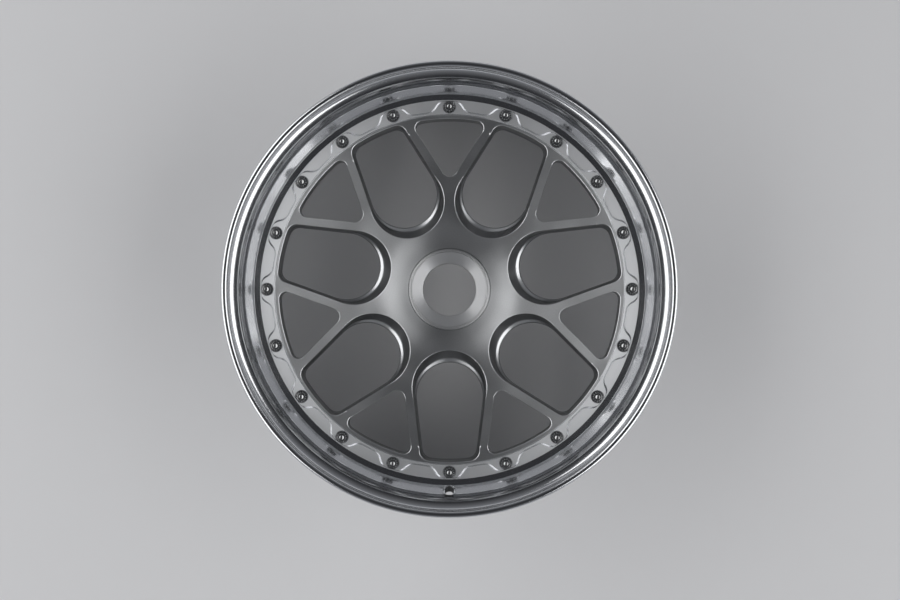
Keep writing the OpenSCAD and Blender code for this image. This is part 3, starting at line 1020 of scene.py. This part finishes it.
def resize_ring(piece, shape):
    """Scales the selected ring about the axis to a shape, all vertices of one factor at a time."""
    mesh = bmesh.from_edit_mesh(piece.data)
    mesh.verts.index_update()
    factors = {}
    chosen = []
    for vertex in mesh.verts:
        if vertex.select:
            chosen.append(vertex.index)
            now = math.hypot(vertex.co.x, vertex.co.y)
            angle = math.atan2(vertex.co.y, vertex.co.x)
            wanted = (shape(angle) if callable(shape) else shape) * MM
            factors.setdefault(round(wanted / now, 5), []).append(vertex.index)
    for factor, group in factors.items():
        pick_vertices(piece, group)
        bpy.ops.transform.resize(value=(factor, factor, 1), center_override=(0, 0, 0))
    pick_vertices(piece, chosen)


def set_out(piece, name, count, material, slot, node):
    """Sets copies of a fastener out on the bolt circle, numbered from 1."""
    for i, copy in enumerate(copies_round_axis(piece, count, 90, BOLT_R)):
        copy.name = f"{name}_{i + 1:02d}"
        copy.data.name = copy.name
        finish_piece(copy, material, slot, node)


class WHEEL_OT_bolts(bpy.types.Operator):
    """Models one twelve-point rim bolt and sets a copy at each bolt hole"""

    bl_idname = "wheel.bolts"
    bl_label = "Rim bolts"

    def execute(self, context):
        foot = RING_Z - SPOT_D
        head = BOLTS_HIGH.z - foot
        end = BOLTS_LOW.z - foot
        rings = [(SHANK_R - 0.8, end), (SHANK_R, end + 0.8)]
        thread_top = end + NUT_H + 1.0
        turns = int((thread_top - end - 0.8) / THREAD_PITCH)
        for i in range(turns):
            base = end + 0.8 + THREAD_PITCH * i
            rings += [(SHANK_R, base + 0.15), (SHANK_R - THREAD_D, base + 0.62), (SHANK_R, base + 1.1)]
        star = splined(6.35, 4.4)
        rings += [
            (SHANK_R, 0.0), (7.1, 0.0), (7.3, 0.2), (7.3, 1.0), (7.1, 1.2), (6.7, 1.25), (star, 1.3),
            (star, head - 0.9), (within(star, 6.0), head - 0.6), (within(star, 4.9), head - 0.1),
            (4.3, head), (2.9, head), (2.7, head - 0.3), (2.6, head - 1.5), (1.6, head - 1.9),
            (0.3, head - 2.0)]
        bolt = stacked_piece("rim_bolt", rings, FASTENER_SIDES)
        bolt.location.z = foot * MM
        apply_place(bolt)
        smooth(bolt, 25)
        scene = context.scene
        material = plated_material("bright bolt", scene.wheel_finish.bolt, 0.12, 0.15)
        set_out(bolt, "rim_bolt", scene.wheel_sizes.bolt_count, material, "bolt_steel", "rim_bolts")
        return {"FINISHED"}


class WHEEL_OT_nuts(bpy.types.Operator):
    """Models one nut and sets a copy behind each bolt hole"""

    bl_idname = "wheel.nuts"
    bl_label = "Rim nuts"

    def execute(self, context):
        hexagon = polygon(NUT_FLATS / math.sqrt(3), 6)
        low, high = NUTS_LOW.z, NUTS_HIGH.z
        rings = [
            (4.1, high), (within(hexagon, 6.45), high), (within(hexagon, 7.2), high - 0.35),
            (hexagon, high - 0.7), (hexagon, low + 1.0), (within(hexagon, 7.1), low + 0.55),
            (within(hexagon, 6.5), low + 0.1), (6.2, low), (4.8, low), (4.1, low + 0.6)]
        nut = stacked_piece("rim_nut", rings, FASTENER_SIDES)
        smooth(nut, 25)
        scene = context.scene
        material = plated_material("zinc nut", scene.wheel_finish.nut, 0.28, 0.25)
        set_out(nut, "rim_nut", scene.wheel_sizes.bolt_count, material, "nut_steel", "rim_nuts")
        return {"FINISHED"}


class WHEEL_OT_seal(bpy.types.Operator):
    """Models the sealing ring in the joint between the rim halves"""

    bl_idname = "wheel.seal"
    bl_label = "Sealing ring"

    def execute(self, context):
        section = (SEAL_HIGH.z - SEAL_LOW.z) / 2
        middle = (min(SEAL_HIGH.x, SEAL_HIGH.y) - section, (SEAL_HIGH.z + SEAL_LOW.z) / 2)
        profile = arc(middle, section, 0, 342, 19)
        seal = turned_piece("sealing_ring", profile, context.scene.wheel_sizes.lathe_steps)
        smooth(seal, 60)
        finish_piece(seal, seal_material(context.scene.wheel_finish), "seal_rubber", "rim_seal")
        return {"FINISHED"}


# Stage

def aimed_light(name, place, target, width, height, watts):
    deselect_all()
    bpy.ops.object.light_add(type="AREA", location=place)
    light = bpy.context.active_object
    light.name = name
    light.data.shape = "RECTANGLE"
    light.data.size = width
    light.data.size_y = height
    light.data.energy = watts
    light.rotation_euler = (Vector(target) - Vector(place)).to_track_quat("-Z", "Y").to_euler()
    light.visible_camera = False


def fade_floor(finish):
    """Fades the far floor into the background for the camera and for reflections."""
    tree = finish.tree
    distance, _ = from_axis(tree, finish.place)
    far = finish.ramp(distance, 0.7, 3.0)
    rays = tree.nodes.new("ShaderNodeLightPath")
    seen = math_node(tree, "MAXIMUM", rays.outputs["Is Camera Ray"], rays.outputs["Is Glossy Ray"])
    seen = math_node(tree, "MAXIMUM", seen, rays.outputs["Is Transmission Ray"])
    pale = add_node(tree, "ShaderNodeEmission", {"Color": HORIZON})
    mix = add_node(tree, "ShaderNodeMixShader", {
        0: finish.both(seen, far), 1: finish.shader.outputs[0], 2: pale.outputs[0]})
    tree.links.new(mix.outputs[0], tree.nodes["Material Output"].inputs["Surface"])


def add_floor(colour):
    bpy.ops.mesh.primitive_circle_add(vertices=96, radius=6.0, fill_type="NGON", location=(0, 0, 0))
    floor = bpy.context.active_object
    floor.name = "floor"
    finish = Finish("pale floor")
    _, clouds = finish.grain(40.0)
    finish.feed("Base Color", finish.blend(clouds, scaled(colour, 0.985), colour))
    finish.shader.inputs["Roughness"].default_value = 0.7
    fade_floor(finish)
    floor.data.materials.append(finish.material)


def add_world(scene):
    """A sky that is pale at the horizon and dark overhead."""
    world = bpy.data.worlds.new("studio")
    scene.world = world
    world.use_nodes = True
    tree = world.node_tree
    place = tree.nodes.new("ShaderNodeTexCoord")
    split = add_node(tree, "ShaderNodeSeparateXYZ", {0: place.outputs["Generated"]})
    fade = add_node(tree, "ShaderNodeValToRGB", {0: split.outputs[2]})
    foot, top = fade.color_ramp.elements
    foot.position, foot.color = 0.06, HORIZON
    top.position, top.color = 0.985, ZENITH
    for height, level in SKY:
        stop = fade.color_ramp.elements.new(height)
        stop.color = (level, level * 1.02, level * 1.08, 1)
    background = tree.nodes["Background"]
    tree.links.new(fade.outputs[0], background.inputs["Color"])
    background.inputs["Strength"].default_value = 1.0


def add_camera(scene):
    """Looks down on the wheel's face, with the valve hole at the bottom of the picture."""
    lens = bpy.data.cameras.new("camera")
    lens.lens = 50.3
    lens.sensor_width = 36.0
    lens.clip_end = 50.0
    camera = bpy.data.objects.new("camera", lens)
    scene.collection.objects.link(camera)
    top = TOP_Z * MM
    place = Vector((0.018, -0.033, top + 1.5))
    aim = Vector((0.0012, -0.0136, top))
    back = (place - aim).normalized()
    right = Vector((0, 1, 0)).cross(back).normalized()
    up = back.cross(right)
    camera.matrix_world = Matrix((
        (right.x, up.x, back.x, place.x),
        (right.y, up.y, back.y, place.y),
        (right.z, up.z, back.z, place.z),
        (0, 0, 0, 1)))
    scene.camera = camera
    scene.view_settings.view_transform = "Standard"


class WHEEL_OT_stage(bpy.types.Operator):
    """Adds the pale floor, the soft studio light and the camera"""

    bl_idname = "wheel.stage"
    bl_label = "Studio stage"

    def execute(self, context):
        deselect_all()
        add_floor(context.scene.wheel_finish.floor)
        add_world(context.scene)
        middle = (0, 0, 0.23)
        aimed_light("left softbox", (-1.75, 0.05, 1.85), middle, 4.0, 1.9, 41)
        aimed_light("right softbox", (1.68, -0.45, 1.85), middle, 2.8, 1.9, 30)
        add_camera(context.scene)
        return {"FINISHED"}


class WHEEL_PT_panel(bpy.types.Panel):
    """Lists the wheel's sizes, finishes and pieces"""

    bl_idname = "WHEEL_PT_panel"
    bl_label = "Split rim wheel"
    bl_space_type = "VIEW_3D"
    bl_region_type = "UI"
    bl_category = "Wheel"

    def draw(self, context):
        layout = self.layout
        for group in (context.scene.wheel_sizes, context.scene.wheel_finish):
            column = layout.column(align=True)
            for name in group.__annotations__:
                column.prop(group, name)
        for operator in OPERATORS:
            layout.operator(operator.bl_idname)


OPERATORS = (
    WHEEL_OT_stage, WHEEL_OT_centre, WHEEL_OT_outer_half, WHEEL_OT_inner_half,
    WHEEL_OT_bolts, WHEEL_OT_nuts, WHEEL_OT_seal)
CLASSES = (WheelSizes, WheelFinish) + OPERATORS + (WHEEL_PT_panel,)


def register():
    for cls in CLASSES:
        bpy.utils.register_class(cls)
    bpy.types.Scene.wheel_sizes = bpy.props.PointerProperty(type=WheelSizes)
    bpy.types.Scene.wheel_finish = bpy.props.PointerProperty(type=WheelFinish)


def unregister():
    del bpy.types.Scene.wheel_finish
    del bpy.types.Scene.wheel_sizes
    for cls in reversed(CLASSES):
        bpy.utils.unregister_class(cls)


def main():
    register()
    bpy.ops.wheel.stage()
    bpy.ops.wheel.centre()
    bpy.ops.wheel.outer_half()
    bpy.ops.wheel.inner_half()
    bpy.ops.wheel.bolts()
    bpy.ops.wheel.nuts()
    bpy.ops.wheel.seal()


if __name__ == "__main__":
    main()
